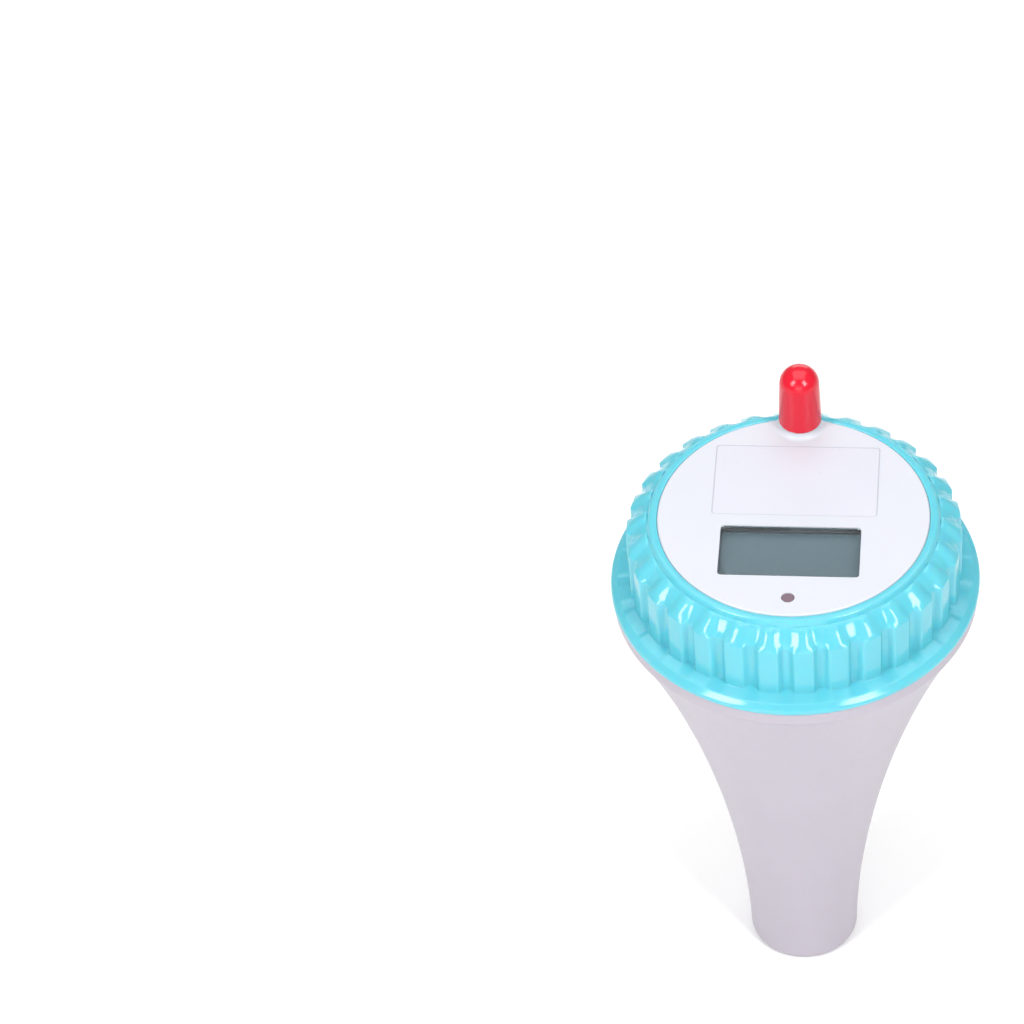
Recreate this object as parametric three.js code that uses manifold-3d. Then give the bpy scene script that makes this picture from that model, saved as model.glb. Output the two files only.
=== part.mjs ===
// Floating pool thermometer: a funnel-shaped float, a screw-on ribbed lock ring, and a sealed
// electronics head with a display, an antenna and two AA cells. Millimetres, +Z up.
// Origin: centre of the flat base rim. The antenna is on the +Y side and the display on the -Y side.

import * as THREE from 'three';
import { mergeVertices } from 'three/addons/utils/BufferGeometryUtils.js';
import Module from 'manifold-3d';

const wasm = await Module();
wasm.setup();

// ---------------------------------------------------------------- driving dimensions
const GAP = 0.3;                    // clearance kept between neighbouring pieces
const COVER_TOP = 162.5;            // height of the display face
const COVER_RADIUS = 34.5;          // display face
const COVER_THICKNESS = 2.2;
const FLANGE_RADIUS = 36.9;         // cover flange held down by the ring, and outside of the neck
const FLANGE_TOP = 160.0;
const FLANGE_BOTTOM = 157.2;
const SKIRT_OUTER = 33.6;
const SKIRT_INNER = 31.6;
const SKIRT_BOTTOM = 146.3;

const RIM_RADIUS = 47.05;           // widest part of the float
const RIM_BOTTOM = 135.4;
const RIM_TOP = 138.9;
const FLOAT_WALL = 2.2;
const NECK_INNER = 34.2;
const NECK_TOP = 155.0;
const FOOT_RADIUS = 14.65;          // float radius just above the base
const FOOT_FILLET = 1.9;
const FLOOR_TOP = 6.0;              // inside of the float's closed bottom
const RECESS_RADIUS = 8.0;          // probe recess in the base
const RECESS_DEPTH = 3.8;

const RING_RADIUS = 47.5;           // widest part of the lock ring
const RING_BOTTOM = RIM_TOP + GAP;
const RING_INNER = 39.0;
const RING_INNER_TOP = 157.4;       // the bore narrows above this height, towards the lip
const RING_BORE = 34.85;
const RIB_RADIUS = 42.85;
const RIB_DEPTH = 1.4;
const RIB_COUNT = 30;
const RIB_STEPS = 4;                // facets in each rib pitch

const THREAD_LEAD = 5.0;            // rise for one turn of the ring
const THREAD_START = 143.1;
const NECK_THREAD_TURNS = 2;
const RING_THREAD_TURNS = 1.2;
const RING_THREAD_DROP = 1.9;       // ring ridge below the neck ridge it pulls on

const ANTENNA_Y = 33.0;
const ANTENNA_BOSS_TOP = 164.05;
const CAP_TOP = 182.1;
const CAP_BASE_RADIUS = 5.5;
const CAP_TOP_RADIUS = 5.0;
const STUB_RADIUS = 4.0;
const LEAD_HOLE_Y = 29.8;           // where the antenna wire drops to the circuit board
const LEAD_HOLE_RADIUS = 1.2;

const WINDOW = { x: -0.35, y: -12.57, width: 35.7, depth: 17.35, corner: 1.0 };
const WINDOW_DROP = 0.15;           // display window below the face
const WINDOW_ROOF = 0.9;            // cover thickness left over the window's hidden flange
const WINDOW_LEDGE = 2.0;           // hidden flange round the window
const LABEL = { x: 0.2, y: 12.35, width: 42.2, depth: 24.8, corner: 0.8 };
const LABEL_RECESS = 0.8;
const LED_Y = -28.6;
const LED_HOLE_RADIUS = 1.7;

const PLATE_RADIUS = 33.4;          // inner case plate that closes the head
const PLATE_BOTTOM = 143.5;
const PLATE_TOP = 146.0;
const SCREW_X = 24.2;
const SCREW_Y = 14.0;
const BOARD_BOTTOM = 152.0;
const BOARD_TOP = 153.6;
const BOARD_HALF_X = 21.0;
const BOARD_HALF_Y = 30.0;
const BOARD_RADIUS = 31.0;

const CASE = { halfX: 17.0, halfY: 9.5, bottom: 84.0, wall: 1.5 };
const CELL_RADIUS = 7.1;
const CELL_X = 7.75;
const CELL_BODY = 49.5;
const CELL_NUB = 0.9;
const CELL_FLOOR = 86.6;            // lowest point of cells and springs

const BUTTON_X = 10.0;
const BUTTON_Y = -17.5;
const SLIDER = { x: 8.6, y: 20.0, travel: 2.0 };
const PLUG = { x: -9.0, y: 20.0 };

// ---------------------------------------------------------------- finishes
const finish = (color, roughness, metalness = 0) =>
  new THREE.MeshStandardMaterial({ color, roughness, metalness });
const WHITE_PLASTIC = finish(0xe6e4ee, 0.38);
const TEAL_PLASTIC = finish(0x6fd3e6, 0.28);
const RED_PLASTIC = finish(0xe22f45, 0.25);
const GREY_PLASTIC = finish(0xb9bcc2, 0.5);
const BLACK_PLASTIC = finish(0x1d1f22, 0.45);
const CLEAR_PLASTIC = finish(0xaab4b8, 0.08);
const DISPLAY_GLASS = finish(0x75878c, 0.15);
const RUBBER = finish(0x2b2c2e, 0.75);
const GREEN_BOARD = finish(0x1f6b45, 0.5);
const STEEL = finish(0xc4c7cb, 0.28, 1);
const COPPER = finish(0xb9754a, 0.35, 1);
const IRON = finish(0x55585c, 0.6, 1);
const CELL_JACKET = finish(0x3c4a63, 0.35, 0.3);
const LABEL_FILM = finish(0xeeeef4, 0.3);

// ---------------------------------------------------------------- solid helpers
const v2 = (x, y) => new THREE.Vector2(x, y);

function signedVolume(position, corners) {
  const [a, b, c] = [new THREE.Vector3(), new THREE.Vector3(), new THREE.Vector3()];
  let volume = 0;
  for (let i = 0; i < corners.length; i += 3) {
    a.fromBufferAttribute(position, corners[i]);
    b.fromBufferAttribute(position, corners[i + 1]);
    c.fromBufferAttribute(position, corners[i + 2]);
    volume += a.dot(b.cross(c)) / 6;
  }
  return volume;
}

// Turns a closed three.js geometry into a solid whose faces point out.
function solidOf(geometry) {
  const bare = geometry.clone();
  bare.deleteAttribute('normal');
  bare.deleteAttribute('uv');
  const merged = mergeVertices(bare, 1e-4);
  const index = merged.index.array;
  const corners = [];
  for (let i = 0; i < index.length; i += 3) {
    const [a, b, c] = [index[i], index[i + 1], index[i + 2]];
    if (a !== b && b !== c && c !== a) corners.push(a, b, c);
  }
  if (signedVolume(merged.attributes.position, corners) < 0) {
    for (let i = 0; i < corners.length; i += 3) {
      [corners[i], corners[i + 1]] = [corners[i + 1], corners[i]];
    }
  }
  return new wasm.Manifold(new wasm.Mesh({
    numProp: 3,
    vertProperties: new Float32Array(merged.attributes.position.array),
    triVerts: new Uint32Array(corners),
  }));
}

function geometryOf(solid) {
  const mesh = solid.getMesh();
  const geometry = new THREE.BufferGeometry();
  geometry.setAttribute('position', new THREE.BufferAttribute(mesh.vertProperties, 3));
  geometry.setIndex(new THREE.BufferAttribute(mesh.triVerts, 1));
  geometry.computeVertexNormals();
  return geometry;
}

const union = (...solids) => solids.reduce((whole, next) => whole.add(next));
const cut = (whole, ...tools) => tools.reduce((rest, tool) => rest.subtract(tool), whole);

// Solid of revolution about a vertical axis at (x, y); the outline holds [radius, height] pairs.
function turned(outline, { segments = 24, start = 0, x = 0, y = 0, reshape = null } = {}) {
  const onAxis = outline[0][0] === 0 && outline.at(-1)[0] === 0;
  const closed = onAxis ? outline : [...outline, outline[0]];
  const geometry = new THREE.LatheGeometry(closed.map(([r, z]) => v2(r, z)), segments, start);
  geometry.rotateX(Math.PI / 2);
  if (reshape) reshape(geometry.attributes.position);
  geometry.translate(x, y, 0);
  return solidOf(geometry);
}

const rod = (radius, low, high, x = 0, y = 0, segments = 20) =>
  turned([[0, low], [radius, low], [radius, high], [0, high]], { segments, x, y });

const washer = (inner, outer, low, high, segments = 24) =>
  turned([[inner, low], [outer, low], [outer, high], [inner, high]], { segments });

function block(width, depth, low, high, x = 0, y = 0) {
  const geometry = new THREE.BoxGeometry(width, depth, high - low);
  geometry.translate(x, y, (low + high) / 2);
  return solidOf(geometry);
}

// Upright plate with rounded corners.
function roundedPlate({ x, y, width, depth, corner }, low, high, margin = 0) {
  const halfX = width / 2 + margin;
  const halfY = depth / 2 + margin;
  const shape = new THREE.Shape();
  shape.moveTo(-halfX + corner, -halfY);
  shape.lineTo(halfX - corner, -halfY);
  shape.absarc(halfX - corner, -halfY + corner, corner, -Math.PI / 2, 0);
  shape.absarc(halfX - corner, halfY - corner, corner, 0, Math.PI / 2);
  shape.absarc(-halfX + corner, halfY - corner, corner, Math.PI / 2, Math.PI);
  shape.absarc(-halfX + corner, -halfY + corner, corner, Math.PI, 1.5 * Math.PI);
  const geometry = new THREE.ExtrudeGeometry(shape, {
    depth: high - low, bevelEnabled: false, curveSegments: 4,
  });
  geometry.translate(x, y, low);
  return solidOf(geometry);
}

// Round wire swept along a smooth curve through the points.
function wire(points, radius, steps, sides = 6) {
  const section = new THREE.Shape();
  section.absarc(0, 0, radius, 0, 2 * Math.PI);
  const path = new THREE.CatmullRomCurve3(points.map(([x, y, z]) => new THREE.Vector3(x, y, z)));
  return solidOf(new THREE.ExtrudeGeometry(section, {
    steps, curveSegments: sides / 2, bevelEnabled: false, extrudePath: path,
  }));
}

// Points of a helix about a vertical axis, its radius running from one value to the other.
function helix({ x, y, low, high, turns, fromRadius, toRadius, fromAngle = 0, stepsPerTurn = 10 }) {
  const count = Math.round(turns * stepsPerTurn);
  return Array.from({ length: count + 1 }, (_, i) => {
    const t = i / count;
    const angle = fromAngle + 2 * Math.PI * turns * t;
    const radius = fromRadius + (toRadius - fromRadius) * t;
    return [x + radius * Math.cos(angle), y + radius * Math.sin(angle), low + (high - low) * t];
  });
}

// Right-hand thread ridge of trapezium section, wrapped round the Z axis.
function threadRidge(rootRadius, crestRadius, start, turns) {
  const ROOT_HALF = 1.2;
  const CREST_HALF = 0.5;
  const STEPS_PER_TURN = 24;
  const section = new THREE.Shape([
    v2(rootRadius, -ROOT_HALF), v2(crestRadius, -CREST_HALF),
    v2(crestRadius, CREST_HALF), v2(rootRadius, ROOT_HALF),
  ]);
  const sweep = 2 * Math.PI * turns;
  const geometry = new THREE.ExtrudeGeometry(section, {
    depth: sweep, steps: Math.round(turns * STEPS_PER_TURN), bevelEnabled: false,
  });
  const position = geometry.attributes.position;
  for (let i = 0; i < position.count; i += 1) {
    const [radius, height, angle] = [position.getX(i), position.getY(i), position.getZ(i)];
    const rise = start + THREAD_LEAD * angle / (2 * Math.PI);
    position.setXYZ(i, radius * Math.cos(angle), radius * Math.sin(angle), height + rise);
  }
  return solidOf(geometry);
}

// ---------------------------------------------------------------- float
const floatFlare = new THREE.CubicBezierCurve(
  v2(FOOT_RADIUS, 2.0), v2(16.6, 70.9), v2(43.5, 130.0), v2(RIM_RADIUS, RIM_BOTTOM),
);

function floatHull() {
  const OUTER_STEPS = 10;
  const INNER_STEPS = 8;
  const CEILING = RIM_TOP - 2.4;
  const filletSteps = [0, 0.5, 1].map((t) => {
    const angle = t * Math.PI / 2;
    return [
      FOOT_RADIUS - FOOT_FILLET + FOOT_FILLET * Math.sin(angle),
      FOOT_FILLET - FOOT_FILLET * Math.cos(angle),
    ];
  });
  const outer = floatFlare.getPoints(OUTER_STEPS).map((p) => [p.x, p.y]);
  const inner = Array.from({ length: INNER_STEPS + 1 }, (_, i) => {
    const t = i / INNER_STEPS;
    const [p, along] = [floatFlare.getPoint(t), floatFlare.getTangent(t)];
    return [p.x - along.y * FLOAT_WALL, p.y + along.x * FLOAT_WALL];
  }).filter(([, z]) => z > FLOOR_TOP + 1 && z < CEILING - 1).reverse();
  return union(
    turned([
      ...filletSteps,
      ...outer,
      [RIM_RADIUS, RIM_TOP - 0.2],
      [RIM_RADIUS - 0.2, RIM_TOP],
      [FLANGE_RADIUS, RIM_TOP],
      [FLANGE_RADIUS, NECK_TOP],
      [NECK_INNER, NECK_TOP],
      [NECK_INNER, CEILING],
      [inner[0][0] + 1.9, CEILING],
      ...inner,
      [inner.at(-1)[0], FLOOR_TOP],
      [PROBE.hullHole, FLOOR_TOP],
      [PROBE.hullHole, RECESS_DEPTH],
      [RECESS_RADIUS, RECESS_DEPTH],
      [RECESS_RADIUS, 0],
    ], { segments: 40 }),
    threadRidge(FLANGE_RADIUS - 0.5, 38.3, THREAD_START, NECK_THREAD_TURNS),
  );
}

const PROBE = { stem: 2.6, bore: 1.7, hullHole: 3.0, head: 5.8, headLow: 0.5, headTop: 2.0, top: 9.6 };

const probeTip = () => turned([
  [0, PROBE.headLow],
  [PROBE.head - 0.7, PROBE.headLow],
  [PROBE.head, PROBE.headLow + 0.7],
  [PROBE.head, PROBE.headTop],
  [PROBE.stem, PROBE.headTop],
  [PROBE.stem, PROBE.top],
  [PROBE.bore, PROBE.top],
  [PROBE.bore, PROBE.headLow + 0.8],
  [0, PROBE.headLow + 0.8],
], { segments: 20 });

const probeSeal = () =>
  washer(PROBE.hullHole, PROBE.head - 0.2, PROBE.headTop + GAP, RECESS_DEPTH - GAP, 20);

function probeNut() {
  const [low, high] = [FLOOR_TOP + GAP, 8.6];
  const hexagon = turned([[0, low], [5.6, low], [5.6, high], [0, high]], { segments: 6 });
  return cut(hexagon, rod(PROBE.hullHole, low - 1, high + 1));
}

const thermistor = () => turned(
  [[0, 1.7], [0.8, 1.9], [1.2, 2.6], [1.2, 5.2], [0.5, 6.0], [0, 6.0]], { segments: 12 },
);

const ballastWeight = () => washer(3.2, 11.7, 8.9, 38.0, 28);

function probeLead() {
  const route = [
    [0, 0, 6.4], [0, 0, 25], [0, 0, 42], [0, 4, 56], [0, 11, 72],
    [-1, 14.5, 88], [-4, 15, 108], [-8, 17, 126], [PLUG.x, PLUG.y, 140.7],
  ];
  return wire(route, 1.1, 40, 8);
}

// ---------------------------------------------------------------- lock ring
function shapeRibs(position) {
  const SHOULDER_RADIUS = 37.8;
  const [ribLow, ribHigh] = [142.3, 161.4];
  for (let i = 0; i < position.count; i += 1) {
    const [x, y, z] = [position.getX(i), position.getY(i), position.getZ(i)];
    const radius = Math.hypot(x, y);
    const onRib = radius > SHOULDER_RADIUS && radius < RIB_RADIUS + 0.1
      && z > ribLow && z < ribHigh && radius > RING_INNER + 0.5;
    const inValley = Math.cos(RIB_COUNT * Math.atan2(y, x)) < 0;
    if (onRib && inValley) {
      const share = (radius - SHOULDER_RADIUS) / (RIB_RADIUS - SHOULDER_RADIUS);
      const scale = (radius - RIB_DEPTH * share) / radius;
      position.setXY(i, x * scale, y * scale);
    }
  }
}

function lockRing() {
  const LIP_BOTTOM = FLANGE_TOP + GAP;
  const segments = RIB_COUNT * RIB_STEPS;
  const body = turned([
    [RING_INNER, RING_BOTTOM],
    [RING_INNER, RING_INNER_TOP],
    [FLANGE_RADIUS + GAP + 0.1, LIP_BOTTOM],
    [RING_BORE, LIP_BOTTOM],
    [RING_BORE, COVER_TOP - 0.4],
    [36.9, COVER_TOP - 0.3],
    [37.4, COVER_TOP - 1.1],
    [39.2, 160.5],
    [41.7, 158.4],
    [RIB_RADIUS, 157.0],
    [RIB_RADIUS, 142.5],
    [45.4, 141.5],
    [46.9, 140.9],
    [RING_RADIUS, 140.1],
    [RING_RADIUS - 0.05, RING_BOTTOM],
  ], { segments, start: Math.PI / segments, reshape: shapeRibs });
  const ridge = threadRidge(RING_INNER + 0.5, 37.45, THREAD_START - RING_THREAD_DROP, RING_THREAD_TURNS);
  return union(body, ridge);
}

// ---------------------------------------------------------------- head shell
function antennaStub() {
  const domeCentre = 176.9;
  const dome = [30, 60].map((degrees) => {
    const angle = THREE.MathUtils.degToRad(degrees);
    return [STUB_RADIUS * Math.cos(angle), domeCentre + STUB_RADIUS * Math.sin(angle)];
  });
  const flare = turned([
    [0, COVER_TOP - 1], [7.0, COVER_TOP - 1], [7.0, COVER_TOP], [5.7, COVER_TOP + 0.5],
    [5.3, ANTENNA_BOSS_TOP], [0, ANTENNA_BOSS_TOP],
  ], { y: ANTENNA_Y });
  const faceEdge = rod(COVER_RADIUS, COVER_TOP - 2, ANTENNA_BOSS_TOP + 1, 0, 0, 48);
  const stub = turned([
    [0, ANTENNA_BOSS_TOP - 1], [STUB_RADIUS, ANTENNA_BOSS_TOP - 1], [STUB_RADIUS, domeCentre],
    ...dome, [0, domeCentre + STUB_RADIUS],
  ], { y: ANTENNA_Y });
  const overhang = cut(stub, rod(60, ANTENNA_BOSS_TOP - 2, ANTENNA_BOSS_TOP));
  return union(flare.intersect(faceEdge), overhang);
}

function topCover() {
  const underside = COVER_TOP - COVER_THICKNESS;
  let cover = turned([
    [0, COVER_TOP], [COVER_RADIUS - 0.5, COVER_TOP], [COVER_RADIUS - 0.15, COVER_TOP - 0.15],
    [COVER_RADIUS, COVER_TOP - 0.5], [COVER_RADIUS, FLANGE_TOP], [FLANGE_RADIUS, FLANGE_TOP],
    [FLANGE_RADIUS, FLANGE_BOTTOM], [SKIRT_OUTER, FLANGE_BOTTOM], [SKIRT_OUTER, SKIRT_BOTTOM],
    [SKIRT_INNER, SKIRT_BOTTOM], [SKIRT_INNER, underside], [0, underside],
  ], { segments: 48 });
  cover = union(cover, antennaStub());
  for (const [sx, sy] of [[-1, -1], [1, -1], [1, 1], [-1, 1]]) {
    const post = rod(2.6, SKIRT_BOTTOM, underside + 0.5, sx * SCREW_X, sy * SCREW_Y, 12);
    const bore = rod(1.55, SKIRT_BOTTOM - 1, 154.5, sx * SCREW_X, sy * SCREW_Y, 12);
    cover = cut(union(cover, post), bore);
  }
  return cut(
    cover,
    roundedPlate(WINDOW, underside - 1, COVER_TOP + 1),
    roundedPlate(WINDOW, underside - 1, COVER_TOP - WINDOW_ROOF, WINDOW_LEDGE),
    roundedPlate(LABEL, COVER_TOP - LABEL_RECESS, COVER_TOP + 1),
    rod(LED_HOLE_RADIUS, underside - 1, COVER_TOP + 1, 0, LED_Y),
    rod(LEAD_HOLE_RADIUS, FLANGE_BOTTOM - 1, ANTENNA_BOSS_TOP + 1, 0, LEAD_HOLE_Y, 12),
    rod(3.0, ANTENNA_BOSS_TOP + 0.8, 177.5, 0, ANTENNA_Y),
  );
}

function lcdWindow() {
  const top = COVER_TOP - WINDOW_DROP;
  return union(
    roundedPlate(WINDOW, top - 1.5, top, -GAP),
    roundedPlate(WINDOW, 159.9, COVER_TOP - WINDOW_ROOF - GAP, WINDOW_LEDGE - GAP),
  );
}

const labelPlate = () => roundedPlate(
  LABEL, COVER_TOP - LABEL_RECESS + GAP, COVER_TOP - 0.05, -GAP,
);

const ledLens = () => turned([
  [0, 157.6], [1.4, 157.6], [1.4, 158.9], [2.2, 158.9], [2.2, 160.0],
  [1.4, 160.0], [1.4, 162.2], [0, 162.4],
], { segments: 16, y: LED_Y });

function antennaCap() {
  const low = ANTENNA_BOSS_TOP + GAP;
  const wall = 0.8;
  const centre = CAP_TOP - CAP_TOP_RADIUS;
  const arc = (radius, degreesList) => degreesList.map((degrees) => {
    const angle = THREE.MathUtils.degToRad(degrees);
    return [radius * Math.cos(angle), centre + radius * Math.sin(angle)];
  });
  const innerRadius = CAP_TOP_RADIUS - wall;
  return turned([
    [0, CAP_TOP],
    ...arc(CAP_TOP_RADIUS, [70, 50, 25, 0]),
    [CAP_BASE_RADIUS, low + 0.4],
    [CAP_BASE_RADIUS - 0.3, low],
    [innerRadius + 0.1, low],
    ...arc(innerRadius, [0, 30, 60]),
    [0, centre + innerRadius],
  ], { y: ANTENNA_Y });
}

function antennaCoil() {
  const COIL_RADIUS = 2.1;
  const turns = helix({
    x: 0, y: ANTENNA_Y, low: 167.0, high: 176.0, turns: 5,
    fromRadius: COIL_RADIUS, toRadius: COIL_RADIUS, fromAngle: -Math.PI / 2,
  });
  const lead = [
    [0, LEAD_HOLE_Y - 0.4, BOARD_TOP + GAP], [0, LEAD_HOLE_Y, 159], [0, LEAD_HOLE_Y + 0.1, 163.5],
    [-0.1, ANTENNA_Y - COIL_RADIUS - 0.2, 165.6],
  ];
  return wire([...lead, ...turns], 0.35, 76);
}

const neckSeal = () => washer(34.5, 36.8, NECK_TOP + GAP, FLANGE_BOTTOM - GAP, 40);

// ---------------------------------------------------------------- inner case and power
function innerCase() {
  const { halfX, halfY, bottom, wall } = CASE;
  const inside = PLATE_BOTTOM;
  let body = union(
    rod(PLATE_RADIUS, PLATE_BOTTOM, PLATE_TOP, 0, 0, 48),
    block(2 * halfX, 2 * halfY, bottom, PLATE_BOTTOM + 0.5),
  );
  body = cut(
    body,
    block(2 * (halfX - wall), 2 * (halfY - wall), bottom + wall, inside),
    block(2 * (halfX - 2 * wall), 4, bottom + 2, inside - 1, 0, -halfY),
    roundedPlate({ x: PLUG.x, y: PLUG.y, width: 8, depth: 6, corner: 0.5 }, 140, 150),
    block(2 * SLIDER.travel + 3, 2.6, 140, 150, SLIDER.x, SLIDER.y),
  );
  for (const side of [-1, 1]) {
    body = cut(
      body,
      rod(3.15, 140, 150, side * BUTTON_X, BUTTON_Y),
      block(3, 1.6, 140, 150, side * CELL_X, 6.0),
    );
    for (const end of [-1, 1]) {
      body = cut(body, rod(1.6, 140, 150, side * SCREW_X, end * SCREW_Y, 12));
      const pillar = rod(1.5, PLATE_TOP - 0.5, BOARD_BOTTOM - GAP, side * 17.5, end * 23.5, 12);
      body = union(body, pillar);
    }
  }
  return body;
}

// Door that closes the front of the battery compartment and wraps its two sides.
function batteryDoor() {
  const [low, high] = [CASE.bottom + 1, PLATE_BOTTOM - GAP];
  const front = -CASE.halfY - GAP;
  const reach = CASE.halfX + GAP;
  const plate = block(2 * (reach + 1.2), 1.5, low, high, 0, front - 0.75);
  const flaps = [-1, 1].map((side) => block(1.2, 4.5, low, high, side * (reach + 0.6), front + 2));
  const grips = [0, 1, 2].map((i) => block(14, 1, 132 + 3 * i, 133 + 3 * i, 0, front - 1.7));
  return union(plate, ...flaps, ...grips);
}

// An AA cell; a negative direction puts its raised contact at the bottom.
function cell(x, low, direction) {
  const outline = [
    [0, 0], [CELL_RADIUS - 0.5, 0], [CELL_RADIUS, 0.5], [CELL_RADIUS, CELL_BODY - 0.5],
    [CELL_RADIUS - 0.5, CELL_BODY], [2.7, CELL_BODY], [2.7, CELL_BODY + CELL_NUB],
    [0, CELL_BODY + CELL_NUB],
  ];
  const high = low + CELL_BODY + CELL_NUB;
  const placed = outline.map(([r, z]) => [r, direction > 0 ? low + z : high - z]);
  return turned(placed, { segments: 24, x });
}

const springHeight = 4.6;

function batterySpring(x, low, widerAtTop) {
  const [fromRadius, toRadius] = widerAtTop ? [3.2, 5.0] : [5.0, 3.2];
  const points = helix({
    x, y: 0, low: low + 0.4, high: low + springHeight - 0.4, turns: 3, fromRadius, toRadius,
  });
  return wire(points, 0.35, 32);
}

function cellContact(side) {
  const [low, high] = [142.4, 142.9];
  return union(
    block(9, 9, low, high, side * CELL_X, 0),
    block(2, 3, low, high, side * CELL_X, 5.2),
    block(2, 0.7, low, BOARD_BOTTOM - GAP, side * CELL_X, 6.3),
  );
}

const bridgeContact = () => block(25, 9, CELL_FLOOR - 0.8, CELL_FLOOR - GAP);

function caseScrew(x, y) {
  const headLow = PLATE_BOTTOM - GAP - 1.6;
  const headTop = PLATE_BOTTOM - GAP;
  const screw = turned([
    [0, headLow], [2.0, headLow], [2.5, headLow + 0.6], [2.5, headTop],
    [1.2, headTop], [1.2, 152.6], [0, 153.6],
  ], { segments: 12, x, y });
  const slot = (width, depth) => block(width, depth, headLow - 1, headLow + 0.8, x, y);
  return cut(screw, slot(2.6, 0.6), slot(0.6, 2.6));
}

// ---------------------------------------------------------------- electronics
// Keeps a solid inside the round space within the cover's skirt.
const insideSkirt = (solid) => solid.intersect(rod(BOARD_RADIUS, SKIRT_BOTTOM, COVER_TOP, 0, 0, 48));

const mainBoard = () => insideSkirt(
  block(2 * BOARD_HALF_X, 2 * BOARD_HALF_Y, BOARD_BOTTOM, BOARD_TOP),
);

function lcdFrame() {
  const [low, high] = [BOARD_TOP + GAP, 159.6];
  return cut(
    insideSkirt(block(41.6, 22.4, low, high, WINDOW.x, WINDOW.y)),
    block(39.4, 20.2, low - 1, 159.1, WINDOW.x, WINDOW.y),
    block(35.3, 17.0, low, high + 1, WINDOW.x, WINDOW.y),
  );
}

const lcdPanel = () => block(38.6, 19.4, 156.6, 158.8, WINDOW.x, WINDOW.y);

const zebraStrip = (side) =>
  block(36, 1.8, BOARD_TOP + GAP, 156.3, WINDOW.x, WINDOW.y + side * 8.0);

function radioModule() {
  const low = BOARD_TOP + GAP;
  return union(
    block(18, 12, low, low + 1, 0, 14),
    block(14, 9, low + 0.5, low + 2.6, 0, 14),
  );
}

function microChip() {
  const high = BOARD_BOTTOM - GAP;
  return block(10, 10, high - 1.5, high, 0, -1);
}

function crystalCan() {
  const geometry = new THREE.CylinderGeometry(1.5, 1.5, 8, 12);
  geometry.rotateZ(Math.PI / 2);
  geometry.translate(0, -25, BOARD_BOTTOM - GAP - 1.5);
  return solidOf(geometry);
}

const ledEmitter = () => turned([
  [0, BOARD_TOP + GAP], [1.7, BOARD_TOP + GAP], [1.7, 154.8], [1.4, 154.8], [1.4, 156.2],
  [0.8, 157.1], [0, 157.3],
], { segments: 12, y: LED_Y });

function pushSwitch(side) {
  const high = BOARD_BOTTOM - GAP;
  return union(
    block(6, 6, 148.8, high, side * BUTTON_X, BUTTON_Y),
    rod(1.6, 148.1, 149, side * BUTTON_X, BUTTON_Y, 12),
  );
}

const pushButton = (side) => turned([
  [0, 141.8], [2.4, 141.8], [2.8, 142.2], [2.8, PLATE_TOP + GAP], [3.8, PLATE_TOP + GAP],
  [3.8, 147.2], [0, 147.2],
], { segments: 20, x: side * BUTTON_X, y: BUTTON_Y });

const channelSwitch = () => block(9, 4.4, 147.9, BOARD_BOTTOM - GAP, SLIDER.x, SLIDER.y);

const channelSlider = () => union(
  block(11.5, 4.2, PLATE_TOP + GAP, 147.5, SLIDER.x, SLIDER.y),
  block(2, 1.8, 142.2, PLATE_TOP + 1, SLIDER.x, SLIDER.y),
);

const leadSocket = () => cut(
  block(8, 6, 147.0, BOARD_BOTTOM - GAP, PLUG.x, PLUG.y),
  block(6.4, 4.4, 146.0, 150.5, PLUG.x, PLUG.y),
);

const leadPlug = () => union(
  block(7, 5, 141.0, 146.6, PLUG.x, PLUG.y),
  block(5.6, 3.6, 146.0, 150.0, PLUG.x, PLUG.y),
);

// ---------------------------------------------------------------- assembly
function add(parent, name, material, solid) {
  const mesh = new THREE.Mesh(geometryOf(solid), material);
  mesh.name = name;
  parent.add(mesh);
}

const group = new THREE.Group();
const floatGroup = new THREE.Group();
const headGroup = new THREE.Group();
group.add(floatGroup, headGroup);

add(floatGroup, 'float_hull', WHITE_PLASTIC, floatHull());
add(floatGroup, 'ballast_weight', IRON, ballastWeight());
add(floatGroup, 'probe_tip', STEEL, probeTip());
add(floatGroup, 'probe_seal', RUBBER, probeSeal());
add(floatGroup, 'probe_nut', STEEL, probeNut());
add(floatGroup, 'thermistor', BLACK_PLASTIC, thermistor());
add(floatGroup, 'probe_lead', GREY_PLASTIC, probeLead());

add(headGroup, 'lock_ring', TEAL_PLASTIC, lockRing());
add(headGroup, 'top_cover', WHITE_PLASTIC, topCover());
add(headGroup, 'lcd_window', CLEAR_PLASTIC, lcdWindow());
add(headGroup, 'label_plate', LABEL_FILM, labelPlate());
add(headGroup, 'led_lens', CLEAR_PLASTIC, ledLens());
add(headGroup, 'antenna_cap', RED_PLASTIC, antennaCap());
add(headGroup, 'antenna_coil', COPPER, antennaCoil());
add(headGroup, 'neck_seal', RUBBER, neckSeal());
add(headGroup, 'inner_case', GREY_PLASTIC, innerCase());
add(headGroup, 'battery_door', GREY_PLASTIC, batteryDoor());

[[-1, -1], [1, -1], [1, 1], [-1, 1]].forEach(([sx, sy], i) => {
  add(headGroup, `case_screw_${i + 1}`, STEEL, caseScrew(sx * SCREW_X, sy * SCREW_Y));
});

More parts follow.
